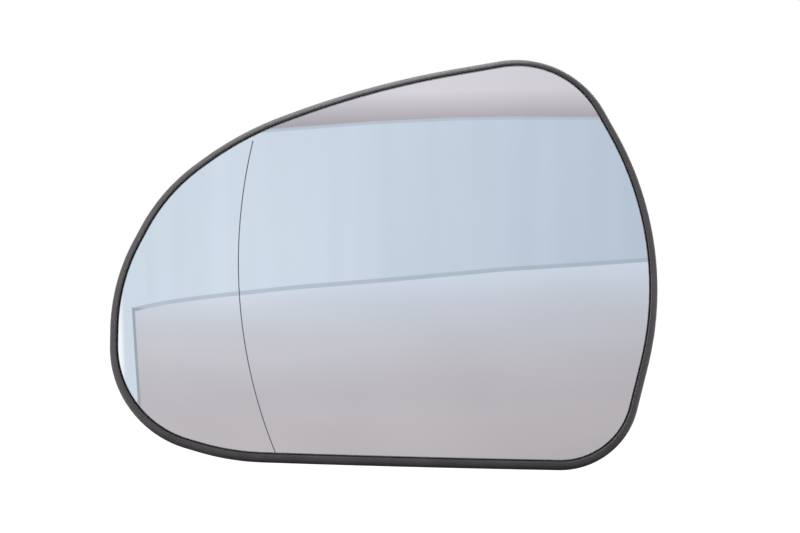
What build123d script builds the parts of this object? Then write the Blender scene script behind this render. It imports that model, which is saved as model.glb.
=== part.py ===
from build123d import *
import os
from functools import cache
from math import asin, cos, degrees, hypot, radians, sin, sqrt, tan

# Glass of a left-hand car door mirror. A convex glass with an aspheric outer end is bonded by its
# heater pad into a moulded carrier, and a ring of hooks behind it snaps onto the tilting drive.
# Seen from the front X runs to the right and Z up, and Y runs from the glass to the back.
# The origin is on the ring's axis, at the middle of the land on the hooks. Lengths are millimetres.

# Outline of the carrier as seen from the front
OUTLINE_WIDTH = 181.8
OUTLINE_HEIGHT = 136.3
OUTLINE_MIDDLE_X = -5.6
OUTLINE_MIDDLE_Z = 4.35
# Each corner of the polygon that the outline touches: its place from the middle of the outline, in
# shares of half the width and half the height, and the radius that rounds it
OUTLINE_CORNERS = [
    (0.882, -1.010, 26.0),  # lower inboard corner
    (1.075, 0.121, 108.0),  # inboard side
    (0.671, 1.052, 33.0),  # upper inboard corner
    (-0.035, 0.890, 300.0),  # top edge
    (-0.512, 0.658, 108.0),  # shoulder
    (-0.801, 0.380, 64.0),  # outboard sweep
    (-0.989, -0.074, 66.0),  # outboard end
    (-1.010, -0.782, 34.5),  # lower outboard corner
    (-0.562, -0.957, 84.0),  # start of the bottom edge
]
# Share of the run between two corners that their roundings may take up
ROUNDING_SHARE = 0.94

# Curvature of the glass: a sphere that bends more and more towards the outboard edge
MAIN_RADIUS = 1400.0
EDGE_RADIUS = 350.0
ASPHERE_START = 52.9
ASPHERE_POINTS = 6

# Layers from the front of the glass to the back of the carrier's floor
GLASS_THICKNESS = 2.0
PAD_THICKNESS = 0.6
FLOOR_THICKNESS = 2.0

# Line that marks where the aspheric end starts
LINE_RADIUS = 172.0
LINE_APEX_Z = 4.7
LINE_TOP_Z = 46.4
LINE_WIDTH = 0.36
LINE_DEPTH = 0.15

# Rim round the glass, thinner along the top than along the bottom by twice the shift, and rounded off
# outwards from a crest along the glass
RIM_WIDTH = 2.45
RIM_SHIFT = 0.95
RIM_PROUD = 1.4
CREST_ROUNDING = 0.3
BEAD_SPARE = 0.1
GLASS_CLEARANCE = 0.25
GLASS_SEAM = 0.25
PAD_INSET = 3.0

# Skirt and ribs behind the floor
SKIRT_STEP = 1.2
SKIRT_WALL = 1.6
SKIRT_HEIGHT = 4.0
RIB_HEIGHT = 3.2
RIB_THICKNESS = 1.5
RIB_COUNT = 8
LOOP_RIB_INSET = 17.0
EJECTOR_MARK_RADIUS = 2.5
EJECTOR_MARK_DEPTH = 0.2
EJECTOR_MARK_COUNT = 4

# Ring of hooks that grips the hub of the drive
LAND_RADIUS = 23.2
LAND_LENGTH = 1.5
RING_HEIGHT = 6.0
HOOK_DEPTH = 1.4
HOOK_SLOPE = 1.3
LEAD_IN = 1.8
FINGER_WALL = 2.2
FINGER_COUNT = 8
SLOT_WIDTH = 3.0
KEY_SLOT_WIDTH = 7.0
SLOT_FLOOR = 1.4
FLEX_GAP = 5.0

# Open wire ring that squeezes the fingers
WIRE_DIAMETER = 1.5
WIRE_CLEARANCE = 0.05
SPRING_GAP_ANGLE = 44.0
EAR_BEND = 2.2
EAR_LENGTH = 8.0

# Heater terminals and their rivets
BLADE_WIDTH = 6.3
BLADE_THICKNESS = 0.8
BLADE_LENGTH = 9.5
BLADE_TIP = 1.2
BLADE_HOLE = 1.7
FOOT_LENGTH = 3.6
TERMINAL_PITCH = 8.4
RIVET_SHANK = 1.6
RIVET_HEAD = 2.8
RIVET_HEAD_HEIGHT = 0.7

# Window in the floor that the terminals stand in
WINDOW_SIDE_ROOM = 2.8
WINDOW_END_ROOM = 0.3
WINDOW_CORNER = 2.0
WINDOW_MARGIN = 8.0
WINDOW_Z = -17.0

# Depths behind the front of the glass, and the places that follow from the sizes above
PAD_FRONT = GLASS_THICKNESS
FLOOR_FRONT = PAD_FRONT + PAD_THICKNESS
FLOOR_BACK = FLOOR_FRONT + FLOOR_THICKNESS
FLOOR_MIDDLE = (FLOOR_FRONT + FLOOR_BACK) / 2
POLE_Y = -(RING_HEIGHT + FLOOR_BACK)
FINGER_INNER = LAND_RADIUS + HOOK_DEPTH
FINGER_OUTER = FINGER_INNER + FINGER_WALL
COLLAR_INNER = FINGER_OUTER + FLEX_GAP
COLLAR_OUTER = COLLAR_INNER + RIB_THICKNESS
WINDOW_WIDTH = BLADE_WIDTH + 2 * WINDOW_SIDE_ROOM
WINDOW_HEIGHT = TERMINAL_PITCH + BLADE_THICKNESS + 2 * (FOOT_LENGTH + WINDOW_END_ROOM)
WINDOW_X = COLLAR_OUTER + WINDOW_MARGIN + WINDOW_WIDTH / 2
# The bead's outer rounding passes the widest stretch of the rim by the spare, and the rounding of its
# crest takes up no more than a third of the thinnest stretch
BEAD_RADIUS = RIM_WIDTH + RIM_SHIFT + BEAD_SPARE
CREST_RADIUS = min(CREST_ROUNDING, (RIM_WIDTH - RIM_SHIFT) / 3)
# Spare length by which a cutting or joining solid passes the face that it cuts or joins
PASS = 1.0
REACH = OUTLINE_WIDTH
CORNER_SHARES = [share_x for share_x, share_z, radius in OUTLINE_CORNERS]
INBOARD_END = OUTLINE_MIDDLE_X + max(CORNER_SHARES) * OUTLINE_WIDTH / 2
OUTBOARD_END = OUTLINE_MIDDLE_X + min(CORNER_SHARES) * OUTLINE_WIDTH / 2
ASPHERE_SPAN = -OUTBOARD_END - ASPHERE_START


def outline(inset=0.0):
    """Face of the carrier's outline, moved in by an inset."""
    corners = []
    for share_x, share_z, radius in OUTLINE_CORNERS:
        x = OUTLINE_MIDDLE_X + share_x * OUTLINE_WIDTH / 2
        z = OUTLINE_MIDDLE_Z + share_z * OUTLINE_HEIGHT / 2
        corners.append(Vector(x, z))
    face = make_face(FilletPolyline(*corners, radius=corner_radii(corners), close=True))
    return offset(face, amount=-inset) if inset else face


def corner_radii(corners):
    """Radii of the outline's corners, each no larger than the runs on both sides of it can hold."""
    wanted = [radius for share_x, share_z, radius in OUTLINE_CORNERS]
    count = len(wanted)
    runs = [corners[i] - corners[i - 1] for i in range(count)]
    setbacks = []
    for i in range(count):
        turn = runs[i].get_angle(runs[(i + 1) % count])
        setbacks.append(wanted[i] * tan(radians(turn) / 2))
    rooms = [ROUNDING_SHARE * runs[i].length / (setbacks[i - 1] + setbacks[i]) for i in range(count)]
    return [wanted[i] * min(1, rooms[i], rooms[(i + 1) % count]) for i in range(count)]


def glass_front(x):
    """Depth of the front of the glass behind its foremost point, and its slope, along X."""
    past_start = max(0.0, -x - ASPHERE_START)
    tightening = (1 / EDGE_RADIUS - 1 / MAIN_RADIUS) / (6 * ASPHERE_SPAN)
    sphere = sqrt(MAIN_RADIUS**2 - x**2)
    depth = MAIN_RADIUS - sphere + tightening * past_start**3
    slope = x / sphere - 3 * tightening * past_start**2
    return depth, slope


def depth_of(point):
    """Depth of a point behind the front of the glass."""
    to_axis = hypot(POLE_Y + MAIN_RADIUS - point.Y, point.Z)
    return MAIN_RADIUS - glass_front(point.X)[0] - to_axis


@cache
def behind(depth):
    """Solid of all that lies behind the front of the glass moved back by a depth."""
    points = []
    tangents = []
    for i in range(ASPHERE_POINTS):
        x = -ASPHERE_START - (ASPHERE_SPAN + PASS) * i / (ASPHERE_POINTS - 1)
        y, slope = glass_front(x)
        length = hypot(1, slope)
        points.append((x - depth * slope / length, POLE_Y + y + depth / length))
        tangents.append((-1, -slope))
    aspheric_end = Spline(*points, tangents=[tangents[0], tangents[-1]])
    start = degrees(asin((INBOARD_END + PASS) / MAIN_RADIUS)) - 90
    stop = -degrees(asin(ASPHERE_START / MAIN_RADIUS)) - 90
    sphere = CenterArc((0, POLE_Y + MAIN_RADIUS), MAIN_RADIUS - depth, start, stop - start)
    inboard = sphere @ 0
    outboard = aspheric_end @ 1
    sides = Polyline(outboard, (outboard.X, REACH), (inboard.X, REACH), inboard)
    profile = make_face([sphere, aspheric_end, *sides.edges()])
    axis = Axis((0, POLE_Y + MAIN_RADIUS, 0), (1, 0, 0))
    half_turn = degrees(OUTLINE_HEIGHT / MAIN_RADIUS)
    return revolve(profile.rotate(axis, -half_turn), axis, revolution_arc=2 * half_turn)


def layer(face, front, back):
    """Solid of a face seen from the front, between two depths behind the front of the glass."""
    prism = extrude(Plane.XZ * face, REACH / 2, both=True)
    return (prism & behind(front)) - behind(back)


def turned(angle, shape):
    """A flat shape turned about the ring's axis, as seen from the front."""
    return Rot(0, 0, angle) * shape


def wall_edges(solid, nearest, deepest):
    """Edges of a solid's side walls whose middles lie between two depths."""
    walls = solid.faces().filter_by(lambda face: abs(face.normal_at().Y) < 0.5)
    return [edge for edge in walls.edges() if nearest < depth_of(edge @ 0.5) < deepest]


def pocket(clearance=0.0):
    """Face of the pocket for the glass, or of what lies in it with a clearance."""
    return Pos(0, RIM_SHIFT) * outline(RIM_WIDTH + clearance)


def window_face(grow=0.0):
    """Face of the terminal window, grown by its collar's wall where one is given."""
    return Pos(WINDOW_X, WINDOW_Z) * RectangleRounded(
        WINDOW_WIDTH + 2 * grow, WINDOW_HEIGHT + 2 * grow, WINDOW_CORNER + grow
    )


def make_glass():
    """Convex glass with seamed edges and the line of the aspheric end cut into its front."""
    glass = layer(pocket(GLASS_CLEARANCE), 0, GLASS_THICKNESS)
    front_edges = wall_edges(glass, -PASS, GLASS_SEAM)
    back_edges = wall_edges(glass, GLASS_THICKNESS - GLASS_SEAM, GLASS_THICKNESS + PASS)
    glass = chamfer(front_edges + back_edges, GLASS_SEAM)
    line_middle = Pos(LINE_RADIUS - ASPHERE_START, LINE_APEX_Z)
    line = line_middle * (Circle(LINE_RADIUS + LINE_WIDTH / 2) - Circle(LINE_RADIUS - LINE_WIDTH / 2))
    outboard_below_top = Pos(-ASPHERE_START, LINE_TOP_Z - REACH / 2) * Rectangle(ASPHERE_START, REACH)
    return glass - layer(line & outboard_below_top, -PASS, LINE_DEPTH)


def make_pad():
    """Heater foil with adhesive on both faces, between the glass and the floor."""
    pad = layer(pocket(PAD_INSET), PAD_FRONT, FLOOR_FRONT)
    for z in terminal_places():
        pad -= rivet_shank(z)
    return pad


def make_rim_and_floor():
    """Tray with a bead along the front of its rim, rounded outside first and then along its crest."""
    in_front = -RIM_PROUD - PASS
    tray = layer(outline(), -RIM_PROUD, FLOOR_BACK)
    tray = fillet(wall_edges(tray, in_front, 0), BEAD_RADIUS)
    tray -= layer(pocket(), in_front, FLOOR_FRONT)
    return fillet(wall_edges(tray, in_front, 0), CREST_RADIUS)


def make_ribs():
    """Skirt round the back with radial ribs, a loop rib and the collar round the fingers."""
    skirt_outside = outline(SKIRT_STEP)
    skirt = skirt_outside - outline(SKIRT_STEP + SKIRT_WALL)
    loop_rib = outline(LOOP_RIB_INSET) - outline(LOOP_RIB_INSET + RIB_THICKNESS)
    radial_rib = Pos(REACH / 2, 0) * Rectangle(REACH, RIB_THICKNESS)
    radial_ribs = [turned(i * 360 / RIB_COUNT, radial_rib) for i in range(RIB_COUNT)]
    web = loop_rib + radial_ribs + Circle(COLLAR_OUTER) - Circle(COLLAR_INNER)
    web = web + window_face(RIB_THICKNESS) - window_face()
    web = web & skirt_outside
    skirt_solid = layer(skirt, FLOOR_MIDDLE, FLOOR_BACK + SKIRT_HEIGHT)
    return skirt_solid + layer(web, FLOOR_MIDDLE, FLOOR_BACK + RIB_HEIGHT)


def make_ring():
    """Ring of sprung fingers with hooks inside and a groove for the wire outside."""
    foot = -RING_HEIGHT - FLOOR_THICKNESS / 2
    land = LAND_LENGTH / 2
    mouth = land + LEAD_IN
    section = make_face(
        Polyline(
            (FINGER_INNER, foot),
            (FINGER_INNER, -land - HOOK_SLOPE),
            (LAND_RADIUS, -land),
            (LAND_RADIUS, land),
            (LAND_RADIUS + LEAD_IN, mouth),
            (FINGER_OUTER, mouth),
            (FINGER_OUTER, foot),
            close=True,
        )
    )
    section -= Pos(FINGER_OUTER, 0) * Circle(WIRE_DIAMETER / 2 + WIRE_CLEARANCE)
    ring = revolve(section, Axis.Y)
    slot_bottom = -RING_HEIGHT + SLOT_FLOOR
    slot_length = mouth + PASS - slot_bottom
    for i in range(FINGER_COUNT):
        width = KEY_SLOT_WIDTH if i == 0 else SLOT_WIDTH
        slot = Pos(FINGER_OUTER, slot_bottom + slot_length / 2, 0) * Box(FINGER_OUTER, slot_length, width)
        ring -= Rot(0, (i + 0.5) * 360 / FINGER_COUNT, 0) * slot
    return ring


def make_carrier():
    """Moulded carrier in one piece: rim, floor, skirt, ribs and the ring of hooks."""
    window = layer(window_face(), FLOOR_FRONT - PASS, FLOOR_BACK + PASS)
    mark = Pos(FINGER_INNER / 2, 0) * Circle(EJECTOR_MARK_RADIUS)
    marks = Sketch()
    for i in range(EJECTOR_MARK_COUNT):
        marks += turned((i + 0.5) * 360 / EJECTOR_MARK_COUNT, mark)
    ejector_marks = layer(marks, FLOOR_BACK - EJECTOR_MARK_DEPTH, FLOOR_BACK + PASS)
    tray = make_rim_and_floor() - [window, ejector_marks]
    return tray + [make_ribs(), make_ring()]


def make_spring():
    """Open ring of spring wire in the fingers' groove, with an ear turned out at each end."""
    start = 270 + SPRING_GAP_ANGLE / 2
    end = 270 - SPRING_GAP_ANGLE / 2
    round_fingers = CenterArc((0, 0), FINGER_OUTER, start, 360 - SPRING_GAP_ANGLE)
    first_bend = CenterArc(polar(start, FINGER_OUTER + EAR_BEND), EAR_BEND, start - 90, -90)
    last_bend = CenterArc(polar(end, FINGER_OUTER + EAR_BEND), EAR_BEND, end + 180, -90)
    first_ear = Line(first_bend @ 0 + polar(start, EAR_LENGTH), first_bend @ 0)
    last_ear = Line(last_bend @ 1, last_bend @ 1 + polar(end, EAR_LENGTH))
    path = Plane.XZ * Wire([first_ear, first_bend, round_fingers, last_bend, last_ear])
    return sweep(Plane(path @ 0, z_dir=path % 0) * Circle(WIRE_DIAMETER / 2), path)


def polar(angle, distance):
    """Point at an angle and a distance from the ring's axis, as seen from the front."""
    return Vector(distance * cos(radians(angle)), distance * sin(radians(angle)))


def terminal_places():
    """Heights of the two terminals' blades in the window."""
    return [WINDOW_Z + TERMINAL_PITCH / 2, WINDOW_Z - TERMINAL_PITCH / 2]


def foot_middle(z):
    """Height of the middle of the foot that turns away from its blade, out of the window."""
    return z + (FOOT_LENGTH / 2 if z > WINDOW_Z else -FOOT_LENGTH / 2)


def rivet_shank(z):
    """Shank from the front of the pad to the back of a terminal's foot."""
    return layer(
        Pos(WINDOW_X, foot_middle(z)) * Circle(RIVET_SHANK / 2),
        PAD_FRONT,
        FLOOR_FRONT + BLADE_THICKNESS,
    )


def make_terminal(z):
    """Tab with a foot on the heater pad and a blade that stands out to the back."""
    foot_face = Pos(WINDOW_X, foot_middle(z)) * Rectangle(BLADE_WIDTH, FOOT_LENGTH + BLADE_THICKNESS)
    foot = layer(foot_face, FLOOR_FRONT, FLOOR_FRONT + BLADE_THICKNESS) - rivet_shank(z)
    foot_y = POLE_Y + FLOOR_FRONT + glass_front(WINDOW_X)[0] + BLADE_THICKNESS
    blade = Rectangle(BLADE_WIDTH, BLADE_LENGTH)
    blade = chamfer(blade.vertices().group_by(Axis.Y)[-1], BLADE_TIP)
    blade -= Pos(0, BLADE_LENGTH / 2 - BLADE_WIDTH / 2) * Circle(BLADE_HOLE / 2)
    blade = extrude(blade, BLADE_THICKNESS / 2, both=True)
    return foot + Pos(WINDOW_X, foot_y + BLADE_LENGTH / 2 - BLADE_THICKNESS / 2, z) * blade


def make_rivet(z):
    """Rivet with a flat head on the terminal's foot."""
    head_front = FLOOR_FRONT + BLADE_THICKNESS
    head_face = Pos(WINDOW_X, foot_middle(z)) * Circle(RIVET_HEAD / 2)
    return rivet_shank(z) + layer(head_face, head_front, head_front + RIVET_HEAD_HEIGHT)


upper_z, lower_z = terminal_places()
nodes = {
    "carrier": make_carrier(),
    "mirror_glass": make_glass(),
    "heater_pad": make_pad(),
    "retaining_spring": make_spring(),
    "upper_terminal": make_terminal(upper_z),
    "lower_terminal": make_terminal(lower_z),
    "upper_rivet": make_rivet(upper_z),
    "lower_rivet": make_rivet(lower_z),
}
os.makedirs("parts", exist_ok=True)
for name, solid in nodes.items():
    export_step(solid, f"parts/{name}.step")
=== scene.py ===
from math import asin, cos, pi, radians, sin, sqrt

import bpy
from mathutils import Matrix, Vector
from mathutils.geometry import convex_hull_2d


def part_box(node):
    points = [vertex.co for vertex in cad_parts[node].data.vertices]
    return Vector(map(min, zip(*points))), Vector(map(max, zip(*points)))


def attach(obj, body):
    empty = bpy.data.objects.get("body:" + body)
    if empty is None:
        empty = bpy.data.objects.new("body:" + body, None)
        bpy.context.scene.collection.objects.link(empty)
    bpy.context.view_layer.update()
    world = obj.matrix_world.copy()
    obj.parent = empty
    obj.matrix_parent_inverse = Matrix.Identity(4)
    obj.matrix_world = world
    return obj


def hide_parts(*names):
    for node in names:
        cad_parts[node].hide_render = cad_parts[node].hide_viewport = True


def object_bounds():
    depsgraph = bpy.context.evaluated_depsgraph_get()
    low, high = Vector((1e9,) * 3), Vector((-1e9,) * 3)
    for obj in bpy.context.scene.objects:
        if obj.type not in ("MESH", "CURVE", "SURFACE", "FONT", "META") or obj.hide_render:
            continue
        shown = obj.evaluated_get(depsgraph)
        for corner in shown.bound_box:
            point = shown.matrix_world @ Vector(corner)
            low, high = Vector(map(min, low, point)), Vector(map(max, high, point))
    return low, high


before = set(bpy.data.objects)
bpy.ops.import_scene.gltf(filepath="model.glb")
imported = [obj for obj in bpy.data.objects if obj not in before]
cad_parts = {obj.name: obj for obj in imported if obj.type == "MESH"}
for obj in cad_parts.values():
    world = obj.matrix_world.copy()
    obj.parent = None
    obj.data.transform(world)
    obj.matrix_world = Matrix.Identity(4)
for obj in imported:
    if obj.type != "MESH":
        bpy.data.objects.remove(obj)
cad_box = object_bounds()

# Carrier: the moulded plate that frames the glass and snaps onto the mirror's drive by a ring of hooks.
# Black ABS, injection-moulded in one shot, its tool spark-eroded to a fine even grain.
MM = 0.001
PLASTIC_BLACK = "363335"
PLASTIC_RUBBED = "423f41"
PLASTIC_GRAIN = 0.55 * MM
PLASTIC_FLOW = 14 * MM
GRAIN_DEPTH = 0.03 * MM
GRAIN_STRENGTH = 0.35
ABS_ROUGHNESS = (0.46, 0.62)
ABS_IOR = 1.5
ABS_SPECULAR = 0.22


def linear(hex_colour):
    """Linear colour of an sRGB hex value."""
    shares = [int(hex_colour[i:i + 2], 16) / 255 for i in (0, 2, 4)]
    return [s / 12.92 if s <= 0.04045 else ((s + 0.055) / 1.055) ** 2.4 for s in shares] + [1.0]


def add(tree, kind, sockets, **settings):
    """Adds a node with its settings, and gives each socket a value or a link from another node's output."""
    node = tree.nodes.new(kind)
    for name, value in settings.items():
        setattr(node, name, value)
    for name, value in sockets.items():
        if isinstance(value, bpy.types.NodeSocket):
            tree.links.new(value, node.inputs[name])
        else:
            node.inputs[name].default_value = value
    return node


def new_material(name):
    """A material with an empty node tree, and that tree."""
    material = bpy.data.materials.new(name)
    material.use_nodes = True
    material.node_tree.nodes.clear()
    return material, material.node_tree


def dress(node_name, material):
    """Gives a carried-over solid its finish."""
    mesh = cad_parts[node_name].data
    mesh.materials.clear()
    mesh.materials.append(material)


# The eroded grain scatters the light, so the black reads as soft charcoal with a faint sheen. Real grain
# is about 0.2 mm; it is drawn coarser here so that it shows.
spark_eroded_abs, tree = new_material("spark_eroded_black_abs")
place = add(tree, "ShaderNodeTexCoord", {}).outputs["Object"]
grain = add(
    tree, "ShaderNodeTexNoise",
    {"Vector": place, "Scale": 1 / PLASTIC_GRAIN, "Detail": 3.0, "Roughness": 0.6},
)
flow = add(tree, "ShaderNodeTexNoise", {"Vector": place, "Scale": 1 / PLASTIC_FLOW, "Detail": 4.0})
rubbed = add(tree, "ShaderNodeMapRange", {"Value": flow.outputs["Fac"], "From Min": 0.35, "From Max": 0.75})
# Inputs 6 and 7 of a colour mix are its two colours, and output 2 is the mixed one.
colour = add(
    tree, "ShaderNodeMix",
    {"Factor": rubbed.outputs["Result"], 6: linear(PLASTIC_BLACK), 7: linear(PLASTIC_RUBBED)},
    data_type="RGBA",
)
sheen = add(
    tree, "ShaderNodeMapRange",
    {
        "Value": grain.outputs["Fac"], "From Min": 0.3, "From Max": 0.7,
        "To Min": ABS_ROUGHNESS[0], "To Max": ABS_ROUGHNESS[1],
    },
)
pits = add(
    tree, "ShaderNodeBump",
    {"Height": grain.outputs["Fac"], "Strength": GRAIN_STRENGTH, "Distance": GRAIN_DEPTH},
)
abs_surface = add(
    tree, "ShaderNodeBsdfPrincipled",
    {
        "Base Color": colour.outputs[2], "Roughness": sheen.outputs["Result"], "IOR": ABS_IOR,
        "Specular IOR Level": ABS_SPECULAR, "Normal": pits.outputs["Normal"],
    },
)
add(tree, "ShaderNodeOutputMaterial", {"Surface": abs_surface.outputs["BSDF"]})
dress("carrier", spark_eroded_abs)

# Heater pad: the foil that bonds the glass into the carrier and warms it. Amber film with adhesive on both
# faces and a printed conductor inside; it shows only in the window behind the terminals.
FILM_AMBER = "9a6a2c"
FILM_TRACK = "5c4326"
TRACK_PITCH = 2.4 * MM
FILM_ROUGHNESS = 0.28
FILM_IOR = 1.6
WAVE_PHASE = 20  # Blender's wave texture turns this many radians in a unit at scale 1.

# The film is glossy and lets the printed tracks show through as darker bands.
printed_film, tree = new_material("printed_heater_film")
place = add(tree, "ShaderNodeTexCoord", {}).outputs["Object"]
tracks = add(
    tree, "ShaderNodeTexWave",
    {"Vector": place, "Scale": 2 * pi / (WAVE_PHASE * TRACK_PITCH), "Distortion": 0.6, "Detail": 1.0},
    bands_direction="Z",
)
edge = add(tree, "ShaderNodeMapRange", {"Value": tracks.outputs["Fac"], "From Min": 0.55, "From Max": 0.65})
colour = add(
    tree, "ShaderNodeMix",
    {"Factor": edge.outputs["Result"], 6: linear(FILM_AMBER), 7: linear(FILM_TRACK)},
    data_type="RGBA",
)
film_surface = add(
    tree, "ShaderNodeBsdfPrincipled",
    {"Base Color": colour.outputs[2], "Roughness": FILM_ROUGHNESS, "IOR": FILM_IOR},
)
add(tree, "ShaderNodeOutputMaterial", {"Surface": film_surface.outputs["BSDF"]})
dress("heater_pad", printed_film)

# Terminals: the two tabs that the heater's leads push onto. Stamped from tinned brass strip, each is held
# to the pad by a rivet through its foot.
TIN_BRIGHT = "cfc9bb"
TIN_WORN = "b39d6e"
ROLLING_STREAK = 0.35 * MM
STREAK_LENGTH = 9 * MM
TIN_ROUGHNESS = (0.2, 0.42)

# Rolled strip: tin with fine streaks along the blade, and the brass shows through where it is worn.
tinned_brass, tree = new_material("tinned_brass_strip")
place = add(tree, "ShaderNodeTexCoord", {}).outputs["Object"]
stretched = add(
    tree, "ShaderNodeMapping",
    {"Vector": place, "Scale": (1 / ROLLING_STREAK, 1 / STREAK_LENGTH, 1 / ROLLING_STREAK)},
)
streaks = add(
    tree, "ShaderNodeTexNoise", {"Vector": stretched.outputs["Vector"], "Scale": 1.0, "Detail": 2.0}
)
colour = add(
    tree, "ShaderNodeMix",
    {"Factor": streaks.outputs["Fac"], 6: linear(TIN_BRIGHT), 7: linear(TIN_WORN)},
    data_type="RGBA",
)
gloss = add(
    tree, "ShaderNodeMapRange",
    {"Value": streaks.outputs["Fac"], "To Min": TIN_ROUGHNESS[0], "To Max": TIN_ROUGHNESS[1]},
)
strip_surface = add(
    tree, "ShaderNodeBsdfPrincipled",
    {"Base Color": colour.outputs[2], "Metallic": 1.0, "Roughness": gloss.outputs["Result"]},
)
add(tree, "ShaderNodeOutputMaterial", {"Surface": strip_surface.outputs["BSDF"]})
for name in ("upper_terminal", "lower_terminal"):
    dress(name, tinned_brass)

# Rivets: the two pins that hold the terminals' feet to the pad and join them to its tracks. Plain brass,
# cut from wire and headed over.
BRASS_BRIGHT = "d8b56a"
BRASS_DULL = "a9823f"
BRASS_MOTTLE = 0.8 * MM
BRASS_ROUGHNESS = (0.18, 0.45)

# Headed brass: warm and bright with duller spots where the snap has marked it.
headed_brass, tree = new_material("headed_brass")
place = add(tree, "ShaderNodeTexCoord", {}).outputs["Object"]
mottle = add(tree, "ShaderNodeTexNoise", {"Vector": place, "Scale": 1 / BRASS_MOTTLE, "Detail": 2.0})
colour = add(
    tree, "ShaderNodeMix",
    {"Factor": mottle.outputs["Fac"], 6: linear(BRASS_BRIGHT), 7: linear(BRASS_DULL)},
    data_type="RGBA",
)
gloss = add(
    tree, "ShaderNodeMapRange",
    {"Value": mottle.outputs["Fac"], "To Min": BRASS_ROUGHNESS[0], "To Max": BRASS_ROUGHNESS[1]},
)
rivet_surface = add(
    tree, "ShaderNodeBsdfPrincipled",
    {"Base Color": colour.outputs[2], "Metallic": 1.0, "Roughness": gloss.outputs["Result"]},
)
add(tree, "ShaderNodeOutputMaterial", {"Surface": rivet_surface.outputs["BSDF"]})
for name in ("upper_rivet", "lower_rivet"):
    dress(name, headed_brass)

# Mirror glass: float glass bent to a sphere that tightens towards its outboard end, cut, its edges ground,
# then silvered. It lies on the heater pad, inside the carrier's rim.
MAIN_RADIUS = 1400 * MM
EDGE_RADIUS = 350 * MM
ASPHERE_START = 52.9 * MM
ASPHERE_SPAN = 44.51 * MM
GLASS_THICKNESS = 2.0 * MM
GROUND_SEAM = 0.25 * MM
FROSTED_BORDER = 0.15 * MM
EDGE_POINTS = 480
FRONT_RINGS = 72
BACK_RINGS = 12
POLES = 2
SILVER_STRIPS = FRONT_RINGS - 1
GROUND_STRIPS = 4
SHARP_EDGE = radians(30)
SILVER = "f8fafb"
SILVER_HAZE = "f0f3f6"
GROUND_EDGE = "7f8987"
BACKING_GREY = "5b5d60"
HAZE_PATCH = 38 * MM
GRINDING_GRIT = 0.3 * MM
SILVER_ROUGHNESS = (0.004, 0.02)
FROST_ROUGHNESS = (0.45, 0.8)
PAINT_ROUGHNESS = (0.55, 0.75)
GLASS_IOR = 1.52
pole_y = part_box("mirror_glass")[0][1]
sphere_y = pole_y + MAIN_RADIUS


def glass_front(x):
    """Depth of the front of the glass behind its foremost point, and its slope, along X."""
    past_start = max(0.0, -x - ASPHERE_START)
    tightening = (1 / EDGE_RADIUS - 1 / MAIN_RADIUS) / (6 * ASPHERE_SPAN)
    sphere = sqrt(MAIN_RADIUS**2 - x**2)
    return MAIN_RADIUS - sphere + tightening * past_start**3, x / sphere - 3 * tightening * past_start**2


def on_glass(x, z, depth):
    """Point at a depth behind the front of the glass."""
    sag, slope = glass_front(x)
    across = sqrt((MAIN_RADIUS - sag) ** 2 - z**2)
    front = Vector((x, sphere_y - across, z))
    outward = Vector((slope, -across / (MAIN_RADIUS - sag), z / (MAIN_RADIUS - sag))).normalized()
    return front - depth * outward


def even_points(loop, count):
    """Points at even distances along a closed loop."""
    ends = loop[1:] + loop[:1]
    step = sum((b - a).length for a, b in zip(loop, ends)) / count
    points = []
    travelled = 0.0
    for a, b in zip(loop, ends):
        length = (b - a).length
        while len(points) < count and len(points) * step < travelled + length:
            points.append(a.lerp(b, (len(points) * step - travelled) / length))
        travelled += length
    return points


def moved_in(loop, amount):
    """A loop that runs anticlockwise, moved in by an amount."""
    moved = []
    for before, point, after in zip(loop[-1:] + loop[:-1], loop, loop[1:] + loop[:1]):
        along = (after - before).normalized()
        moved.append(point + amount * Vector((-along.y, along.x)))
    return moved


def new_piece(name, points, faces, materials):
    """A smooth mesh piece that rides with the part."""
    mesh = bpy.data.meshes.new(name)
    mesh.from_pydata(points, [], faces)
    mesh.shade_smooth()
    mesh.set_sharp_from_angle(angle=SHARP_EDGE)
    for material in materials:
        mesh.materials.append(material)
    piece = bpy.data.objects.new(name, mesh)
    bpy.context.scene.collection.objects.link(piece)
    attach(piece, "root")
    return piece


cad_glass = [Vector((v.co.x, v.co.z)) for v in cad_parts["mirror_glass"].data.vertices]
glass_edge = even_points([cad_glass[i] for i in convex_hull_2d(cad_glass)], EDGE_POINTS)
seam_edge = moved_in(glass_edge, GROUND_SEAM)
silver_edge = moved_in(seam_edge, FROSTED_BORDER)
glass_middle = sum(glass_edge, Vector((0, 0))) / EDGE_POINTS
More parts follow.
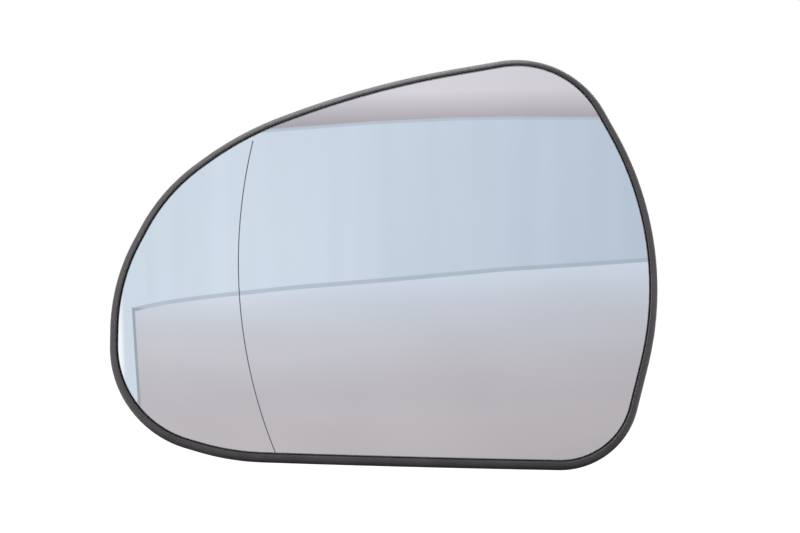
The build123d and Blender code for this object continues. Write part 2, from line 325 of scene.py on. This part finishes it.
# The first two points are the middles of the front and the back. The rings run from the middle of the front
# out to the ground edge, round it, and back to the middle behind.
rings = [(silver_edge, (i + 1) / FRONT_RINGS, 0.0) for i in range(FRONT_RINGS)]
rings += [(seam_edge, 1.0, 0.0), (glass_edge, 1.0, GROUND_SEAM)]
rings += [(glass_edge, 1.0, GLASS_THICKNESS - GROUND_SEAM)]
rings += [(seam_edge, 1 - i / BACK_RINGS, GLASS_THICKNESS) for i in range(BACK_RINGS)]
points = [on_glass(*glass_middle, 0.0), on_glass(*glass_middle, GLASS_THICKNESS)]
for loop, share, depth in rings:
    for corner in loop:
        points.append(on_glass(*glass_middle.lerp(corner, share), depth))
faces = []
finishes = []
SILVERED, GROUND, BACKED = range(3)
for i in range(EDGE_POINTS):
    following = (i + 1) % EDGE_POINTS
    faces.append((0, POLES + i, POLES + following))
    finishes.append(SILVERED)
    for ring in range(len(rings) - 1):
        near = POLES + ring * EDGE_POINTS
        far = near + EDGE_POINTS
        faces.append((near + i, far + i, far + following, near + following))
        finishes.append(
            SILVERED if ring < SILVER_STRIPS else GROUND if ring < SILVER_STRIPS + GROUND_STRIPS else BACKED
        )
    last = POLES + (len(rings) - 1) * EDGE_POINTS
    faces.append((1, last + following, last + i))
    finishes.append(BACKED)

# Silvered glass: a clean, slightly cool mirror with the faint haze of wiping in places.
silvered_glass, tree = new_material("silvered_glass")
place = add(tree, "ShaderNodeTexCoord", {}).outputs["Object"]
haze = add(tree, "ShaderNodeTexNoise", {"Vector": place, "Scale": 1 / HAZE_PATCH, "Detail": 3.0})
colour = add(
    tree, "ShaderNodeMix",
    {"Factor": haze.outputs["Fac"], 6: linear(SILVER), 7: linear(SILVER_HAZE)},
    data_type="RGBA",
)
gloss = add(
    tree, "ShaderNodeMapRange",
    {"Value": haze.outputs["Fac"], "To Min": SILVER_ROUGHNESS[0], "To Max": SILVER_ROUGHNESS[1]},
)
mirror_surface = add(
    tree, "ShaderNodeBsdfPrincipled",
    {"Base Color": colour.outputs[2], "Metallic": 1.0, "Roughness": gloss.outputs["Result"]},
)
add(tree, "ShaderNodeOutputMaterial", {"Surface": mirror_surface.outputs["BSDF"]})

# Ground edge: matt grey-green glass, frosted by the wheel, which runs a little onto the face.
ground_glass, tree = new_material("ground_glass_edge")
place = add(tree, "ShaderNodeTexCoord", {}).outputs["Object"]
grit = add(tree, "ShaderNodeTexNoise", {"Vector": place, "Scale": 1 / GRINDING_GRIT, "Detail": 2.0})
frost = add(
    tree, "ShaderNodeMapRange",
    {"Value": grit.outputs["Fac"], "To Min": FROST_ROUGHNESS[0], "To Max": FROST_ROUGHNESS[1]},
)
edge_surface = add(
    tree, "ShaderNodeBsdfPrincipled",
    {"Base Color": linear(GROUND_EDGE), "Roughness": frost.outputs["Result"], "IOR": GLASS_IOR},
)
add(tree, "ShaderNodeOutputMaterial", {"Surface": edge_surface.outputs["BSDF"]})

# Backing paint: the dull grey coat over the silver.
backing_paint, tree = new_material("mirror_backing_paint")
place = add(tree, "ShaderNodeTexCoord", {}).outputs["Object"]
coat = add(tree, "ShaderNodeTexNoise", {"Vector": place, "Scale": 1 / HAZE_PATCH, "Detail": 5.0})
dullness = add(
    tree, "ShaderNodeMapRange",
    {"Value": coat.outputs["Fac"], "To Min": PAINT_ROUGHNESS[0], "To Max": PAINT_ROUGHNESS[1]},
)
paint_surface = add(
    tree, "ShaderNodeBsdfPrincipled",
    {"Base Color": linear(BACKING_GREY), "Roughness": dullness.outputs["Result"]},
)
add(tree, "ShaderNodeOutputMaterial", {"Surface": paint_surface.outputs["BSDF"]})

glass_finishes = [silvered_glass, ground_glass, backing_paint]
glass = new_piece("silvered_glass_plate", points, faces, glass_finishes)
glass.data.polygons.foreach_set("material_index", finishes)
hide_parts("mirror_glass")

# Aspheric line: the fine line that shows the driver where the tighter curve starts. It is etched into the
# front of the glass along an arc, right down to the bottom edge.
LINE_RADIUS = 172 * MM
LINE_APEX_Z = 4.7 * MM
LINE_TOP_Z = 46.4 * MM
LINE_WIDTH = 0.36 * MM
LINE_PROUD = 0.02 * MM
LINE_DEPTH = 0.05 * MM
LINE_STEPS = 640
LINE_SWEEP = radians(30)
LINE_CORNERS = 4
LINE_GREY = "3c3e44"
LINE_PALE = "54565c"
ETCH_GRAIN = 0.4 * MM
ETCH_ROUGHNESS = 0.7
line_middle = Vector((LINE_RADIUS - ASPHERE_START, LINE_APEX_Z))


def on_line(angle, radius):
    """Point at an angle below the line's apex, seen from the front."""
    return line_middle + radius * Vector((-cos(angle), -sin(angle)))


def inside(loop, point):
    """Whether a point is inside a loop that runs anticlockwise and bulges everywhere."""
    return all((b - a).cross(point - a) > 0 for a, b in zip(loop, loop[1:] + loop[:1]))


top_angle = -asin((LINE_TOP_Z - LINE_APEX_Z) / LINE_RADIUS)
step = (LINE_SWEEP - top_angle) / LINE_STEPS
angles = [top_angle + step * i for i in range(LINE_STEPS)]
angles = [angle for angle in angles if inside(seam_edge, on_line(angle, LINE_RADIUS))]
points = []
for angle in angles:
    for radius, depth in (
        (LINE_RADIUS + LINE_WIDTH / 2, -LINE_PROUD),
        (LINE_RADIUS - LINE_WIDTH / 2, -LINE_PROUD),
        (LINE_RADIUS - LINE_WIDTH / 2, LINE_DEPTH),
        (LINE_RADIUS + LINE_WIDTH / 2, LINE_DEPTH),
    ):
        points.append(on_glass(*on_line(angle, radius), depth))
last = len(points) - LINE_CORNERS
faces = [(3, 2, 1, 0), tuple(last + i for i in range(LINE_CORNERS))]
for near in range(0, last, LINE_CORNERS):
    far = near + LINE_CORNERS
    for side in range(LINE_CORNERS):
        other = (side + 1) % LINE_CORNERS
        faces.append((near + side, near + other, far + other, far + side))

# Etched glass: a matt grey hairline, a little broken along its length.
etched_glass, tree = new_material("etched_glass_line")
place = add(tree, "ShaderNodeTexCoord", {}).outputs["Object"]
broken = add(tree, "ShaderNodeTexNoise", {"Vector": place, "Scale": 1 / ETCH_GRAIN, "Detail": 1.0})
colour = add(
    tree, "ShaderNodeMix",
    {"Factor": broken.outputs["Fac"], 6: linear(LINE_GREY), 7: linear(LINE_PALE)},
    data_type="RGBA",
)
line_surface = add(
    tree, "ShaderNodeBsdfPrincipled",
    {"Base Color": colour.outputs[2], "Roughness": ETCH_ROUGHNESS, "IOR": GLASS_IOR},
)
add(tree, "ShaderNodeOutputMaterial", {"Surface": line_surface.outputs["BSDF"]})
new_piece("aspheric_line", points, faces, [etched_glass])

# Retaining spring: the open ring that squeezes the hooks onto the hub. Spring steel wire, drawn, bent cold
# and left with a film of oil; it snaps into the groove round the fingers.
STEEL_BRIGHT = "8f9093"
STEEL_OILED = "5e5c5a"
DRAWING_STREAK = 0.25 * MM
OIL_PATCH = 6 * MM
STEEL_ROUGHNESS = (0.22, 0.45)

# Drawn steel: grey with fine die lines and browner oiled stretches.
drawn_steel, tree = new_material("drawn_spring_steel")
place = add(tree, "ShaderNodeTexCoord", {}).outputs["Object"]
die_lines = add(tree, "ShaderNodeTexNoise", {"Vector": place, "Scale": 1 / DRAWING_STREAK, "Detail": 2.0})
oil = add(tree, "ShaderNodeTexNoise", {"Vector": place, "Scale": 1 / OIL_PATCH, "Detail": 2.0})
colour = add(
    tree, "ShaderNodeMix",
    {"Factor": oil.outputs["Fac"], 6: linear(STEEL_BRIGHT), 7: linear(STEEL_OILED)},
    data_type="RGBA",
)
gloss = add(
    tree, "ShaderNodeMapRange",
    {"Value": die_lines.outputs["Fac"], "To Min": STEEL_ROUGHNESS[0], "To Max": STEEL_ROUGHNESS[1]},
)
wire_surface = add(
    tree, "ShaderNodeBsdfPrincipled",
    {"Base Color": colour.outputs[2], "Metallic": 1.0, "Roughness": gloss.outputs["Result"]},
)
add(tree, "ShaderNodeOutputMaterial", {"Surface": wire_surface.outputs["BSDF"]})
dress("retaining_spring", drawn_steel)

# Studio floor: a plain pale sheet of paper, laid flat well below the part, which is held up by its
# clip ring.
FLOOR_DROP = 600 * MM
FLOOR_SIZE = 8.0
FLOOR_PALE = "c0c0c0"
FLOOR_LIFT = 0.88
FLOOR_CLOUD = 0.6
PAPER_ROUGHNESS = (0.8, 0.9)
WHITE = (1.0, 1.0, 1.0, 1.0)
floor_mesh = bpy.data.meshes.new("studio_floor")
half = FLOOR_SIZE / 2
floor_z = cad_box[0][2] - FLOOR_DROP
floor_mesh.from_pydata(
    [(-half, -half, floor_z), (half, -half, floor_z), (half, half, floor_z), (-half, half, floor_z)],
    [], [(0, 1, 2, 3)],
)
floor = bpy.data.objects.new("studio_floor", floor_mesh)
bpy.context.scene.collection.objects.link(floor)

# Matt paper: pale, lifted to white for the camera and in reflections, with the part's shadow left on it.
matt_paper, tree = new_material("matt_studio_paper")
place = add(tree, "ShaderNodeTexCoord", {}).outputs["Object"]
cloud = add(tree, "ShaderNodeTexNoise", {"Vector": place, "Scale": 1 / FLOOR_CLOUD})
dullness = add(
    tree, "ShaderNodeMapRange",
    {"Value": cloud.outputs["Fac"], "To Min": PAPER_ROUGHNESS[0], "To Max": PAPER_ROUGHNESS[1]},
)
paper = add(
    tree, "ShaderNodeBsdfPrincipled",
    {"Base Color": linear(FLOOR_PALE), "Roughness": dullness.outputs["Result"]},
)
rays = add(tree, "ShaderNodeLightPath", {})
seen = add(
    tree, "ShaderNodeMath",
    {0: rays.outputs["Is Camera Ray"], 1: rays.outputs["Is Glossy Ray"]},
    operation="MAXIMUM",
)
seen = add(
    tree, "ShaderNodeMath",
    {0: seen.outputs["Value"], 1: rays.outputs["Is Transmission Ray"]},
    operation="MAXIMUM",
)
lift = add(tree, "ShaderNodeMath", {0: seen.outputs["Value"], 1: FLOOR_LIFT}, operation="MULTIPLY")
white = add(tree, "ShaderNodeEmission", {"Color": WHITE, "Strength": lift.outputs["Value"]})
lifted = add(tree, "ShaderNodeAddShader", {0: paper.outputs["BSDF"], 1: white.outputs["Emission"]})
add(tree, "ShaderNodeOutputMaterial", {"Surface": lifted.outputs["Shader"]})
floor_mesh.materials.append(matt_paper)

# Studio room: plain white walls all round. The camera and reflections see them white, and they give a soft
# even light.
ROOM_LIGHT = 0.2
world = bpy.data.worlds.new("white_studio")
world.use_nodes = True
bpy.context.scene.world = world
tree = world.node_tree
tree.nodes.clear()
rays = add(tree, "ShaderNodeLightPath", {})
seen = add(
    tree, "ShaderNodeMath",
    {0: rays.outputs["Is Camera Ray"], 1: rays.outputs["Is Glossy Ray"]},
    operation="MAXIMUM",
)
seen = add(
    tree, "ShaderNodeMath",
    {0: seen.outputs["Value"], 1: rays.outputs["Is Transmission Ray"]},
    operation="MAXIMUM",
)
level = add(tree, "ShaderNodeMapRange", {"Value": seen.outputs["Value"], "To Min": ROOM_LIGHT, "To Max": 1.0})
walls = add(tree, "ShaderNodeBackground", {"Color": WHITE, "Strength": level.outputs["Result"]})
add(tree, "ShaderNodeOutputWorld", {"Surface": walls.outputs["Background"]})

# Soft boxes: a large one overhead, one to each side in front, and a fill behind, all turned to the part.
# Each has its place and its side in metres, and its power in watts.
SOFT_BOXES = [
    ("top_soft_box", (-0.25, 0.47, 1.03), 1.0, 20.0),
    ("left_soft_box", (-1.05, -0.6, 0.35), 0.8, 19.0),
    ("right_soft_box", (1.0, -0.5, 0.3), 0.8, 9.0),
    ("back_soft_box", (0.6, 1.3, 0.7), 0.9, 14.0),
]
part_middle = (Vector(cad_box[0]) + Vector(cad_box[1])) / 2
for name, stand, side, watts in SOFT_BOXES:
    light = bpy.data.lights.new(name, "AREA")
    light.size = side
    light.energy = watts
    lamp = bpy.data.objects.new(name, light)
    lamp.location = stand
    lamp.rotation_euler = (part_middle - Vector(stand)).to_track_quat("-Z", "Y").to_euler()
    bpy.context.scene.collection.objects.link(lamp)

# Glowing cards: plain sheets behind the camera that glow with painted light of their own, and that the mirror
# shows: a pale blue one with a white one to the left of it, an off-white one above it and a pale grey one
# below, the last two with a narrow painted shade along their edges. The camera doesn't see them.
CARD_Y = -1.5
CARD_STEP = 0.01
# Widths of the painted fold shade along x, y and z, and how far that shade darkens or lightens the glow.
UPRIGHT_FOLD = (0.07, 1.0, 0.9)
LYING_FOLD = (0.35, 1.0, 0.1)
FOLD_SHADE = 0.03
DIM_FROM_X = -0.2
DIM_TO_X = 0.46
CARD_LEFT = -4.0
CARD_RIGHT = 4.0
CARD_FOOT = -1.2
CARD_TOP = 3.0
CARD_FEET = [(CARD_LEFT, CARD_FOOT), (CARD_RIGHT, CARD_FOOT)]
CARD_TOPS = [(CARD_RIGHT, CARD_TOP), (CARD_LEFT, CARD_TOP)]
LOWER_EDGE = [
    (CARD_RIGHT, -0.12), (1.2, -0.12), (0.46, -0.155), (0.183, -0.169),
    (-0.182, -0.201), (-0.465, -0.235), (-0.568, -0.251),
]
UPPER_EDGE = [
    (CARD_LEFT, -0.03), (-1.4, -0.03), (-0.25, 0.081), (-0.054, 0.096), (0.091, 0.103),
    (0.2, 0.105), (0.37, 0.104), (1.2, 0.09), (CARD_RIGHT, 0.09),
]
EDGE_SHADE = 0.005
LOWER_FEET = [(-0.507, CARD_FOOT), (CARD_RIGHT, CARD_FOOT)]
# Each card has its corners, x and z as seen from the front. Its colour changes along a direction, from one
# place to another, evenly where the curve is 1; its glow dims to a level at the right, and it has painted
# fold shade of a width.
CARDS = [
    (
        "blue_card", CARD_FEET + CARD_TOPS,
        (1, 0), (-0.2, "d7e1ec"), (0.46, "bec9d8"), 1.0, 1.0, UPRIGHT_FOLD,
    ),
    (
        "left_card", [(-1.4, CARD_FOOT), (-0.6, CARD_FOOT), (-0.6, CARD_TOP), (-1.4, CARD_TOP)],
        (-1, 0), (0.627, "d7e1ec"), (0.644, "ffffff"), 1.0, 1.0, UPRIGHT_FOLD,
    ),
    (
        "upper_edge_shade", [(x, z - EDGE_SHADE) for x, z in UPPER_EDGE] + CARD_TOPS,
        (0, 1), (-1, "c3ccd9"), (1, "c3ccd9"), 1.0, 0.88, UPRIGHT_FOLD,
    ),
    (
        "upper_card", UPPER_EDGE + CARD_TOPS,
        (-0.03, 1), (0.096, "b4adb3"), (0.148, "dfd9df"), 1.0, 0.97, LYING_FOLD,
    ),
    (
        "edge_shade", LOWER_FEET + [(x - EDGE_SHADE / 2, z + EDGE_SHADE) for x, z in LOWER_EDGE],
        (0, 1), (-1, "bcc7d3"), (1, "bcc7d3"), 1.0, 0.85, UPRIGHT_FOLD,
    ),
    (
        "side_shade",
        [(-0.522, CARD_FOOT), (-0.4, CARD_FOOT), (-0.4, -0.251), (-0.57, -0.246), (-0.582, -0.246)],
        (0, 1), (-1, "a2acb6"), (1, "a2acb6"), 1.0, 1.0, UPRIGHT_FOLD,
    ),
    (
        "lower_card", LOWER_FEET + LOWER_EDGE,
        (-0.02, 1), (-0.53, "c5bec1"), (-0.165, "dfe8f5"), 2.5, 0.88, LYING_FOLD,
    ),
]
for layer, card_facts in enumerate(CARDS):
    name, corners, direction, (low, low_colour), (high, high_colour), curve, right_level, fold = card_facts
    card_mesh = bpy.data.meshes.new(name)
    card_y = CARD_Y + layer * CARD_STEP
    card_mesh.from_pydata([(x, card_y, z) for x, z in corners], [], [tuple(range(len(corners)))])
    card = bpy.data.objects.new(name, card_mesh)
    bpy.context.scene.collection.objects.link(card)
    card.visible_camera = False
    card.visible_diffuse = False
    card.visible_shadow = False
    # The card's material is a glow: painted light, with no lamp on the card.
    glowing_card, tree = new_material(name)
    place = add(tree, "ShaderNodeTexCoord", {}).outputs["Object"]
    along = add(
        tree, "ShaderNodeVectorMath",
        {0: place, 1: (direction[0], 0, direction[1])},
        operation="DOT_PRODUCT",
    )
    reached = add(
        tree, "ShaderNodeMapRange",
        {"Value": along.outputs["Value"], "From Min": low, "From Max": high},
    )
    share = add(tree, "ShaderNodeMath", {0: reached.outputs["Result"], 1: curve}, operation="POWER")
    colour = add(
        tree, "ShaderNodeMix",
        {"Factor": share.outputs["Value"], 6: linear(low_colour), 7: linear(high_colour)},
        data_type="RGBA",
    )
    axes = add(tree, "ShaderNodeSeparateXYZ", {"Vector": place})
    dimmed = add(
        tree, "ShaderNodeMapRange",
        {
            "Value": axes.outputs["X"], "From Min": DIM_FROM_X, "From Max": DIM_TO_X,
            "To Min": 1.0, "To Max": right_level,
        },
    )
    # Painted fold shade: noise that darkens and lightens the glow a little, as folds in a hung sheet would.
    hung = add(tree, "ShaderNodeMapping", {"Vector": place, "Scale": tuple(1 / width for width in fold)})
    painted_fold_shade = add(
        tree, "ShaderNodeTexNoise", {"Vector": hung.outputs["Vector"], "Scale": 1.0, "Detail": 1.0}
    )
    shade = add(
        tree, "ShaderNodeMapRange",
        {
            "Value": painted_fold_shade.outputs["Fac"], "From Min": 0.3, "From Max": 0.7,
            "To Min": 1 - FOLD_SHADE, "To Max": 1 + FOLD_SHADE,
        },
    )
    level = add(
        tree, "ShaderNodeMath",
        {0: dimmed.outputs["Result"], 1: shade.outputs["Result"]},
        operation="MULTIPLY",
    )
    glow = add(
        tree, "ShaderNodeEmission", {"Color": colour.outputs[2], "Strength": level.outputs["Value"]}
    )
    add(tree, "ShaderNodeOutputMaterial", {"Surface": glow.outputs["Emission"]})
    card_mesh.materials.append(glowing_card)

# Black flag: a plain dark sheet close under the part, which keeps the floor's light off its lower edge. The
# camera doesn't see it.
FLAG_DROP = 8 * MM
FLAG_CORNERS = [(-0.11, -0.017), (0.1, -0.017), (0.1, 0.06), (-0.11, 0.06)]
FLAG_BLACK = "1c1c1d"
FLAG_NAP = 1.5 * MM
FELT_ROUGHNESS = (0.85, 1.0)
flag_mesh = bpy.data.meshes.new("black_flag")
flag_z = cad_box[0][2] - FLAG_DROP
flag_mesh.from_pydata([(x, y, flag_z) for x, y in FLAG_CORNERS], [], [(0, 1, 2, 3)])
flag = bpy.data.objects.new("black_flag", flag_mesh)
bpy.context.scene.collection.objects.link(flag)
flag.visible_camera = False
flag.visible_shadow = False

# Black felt: matt, with a short nap.
black_felt, tree = new_material("black_felt")
place = add(tree, "ShaderNodeTexCoord", {}).outputs["Object"]
nap = add(tree, "ShaderNodeTexNoise", {"Vector": place, "Scale": 1 / FLAG_NAP, "Detail": 1.0})
dullness = add(
    tree, "ShaderNodeMapRange",
    {"Value": nap.outputs["Fac"], "To Min": FELT_ROUGHNESS[0], "To Max": FELT_ROUGHNESS[1]},
)
felt = add(
    tree, "ShaderNodeBsdfPrincipled",
    {"Base Color": linear(FLAG_BLACK), "Roughness": dullness.outputs["Result"]},
)
add(tree, "ShaderNodeOutputMaterial", {"Surface": felt.outputs["BSDF"]})
flag_mesh.materials.append(black_felt)

# Camera: square to the part and a little above it, with a long lens. The sensor's width and the focal
# length are in millimetres, as Blender has them.
CAMERA_AIM = Vector((0.19 * MM, -10.6 * MM, 5.3 * MM))
CAMERA_ELEVATION = radians(7)
CAMERA_DISTANCE = 620 * MM
CAMERA_SENSOR = 36.0
CAMERA_LENS = 85.06
camera_data = bpy.data.cameras.new("photo_camera")
camera_data.sensor_width = CAMERA_SENSOR
camera_data.lens = CAMERA_LENS
camera = bpy.data.objects.new("photo_camera", camera_data)
towards_camera = Vector((0, -cos(CAMERA_ELEVATION), sin(CAMERA_ELEVATION)))
camera.location = CAMERA_AIM + CAMERA_DISTANCE * towards_camera
camera.rotation_euler = (pi / 2 - CAMERA_ELEVATION, 0, 0)
bpy.context.scene.collection.objects.link(camera)
bpy.context.scene.camera = camera
bpy.context.scene.view_settings.view_transform = "Standard"
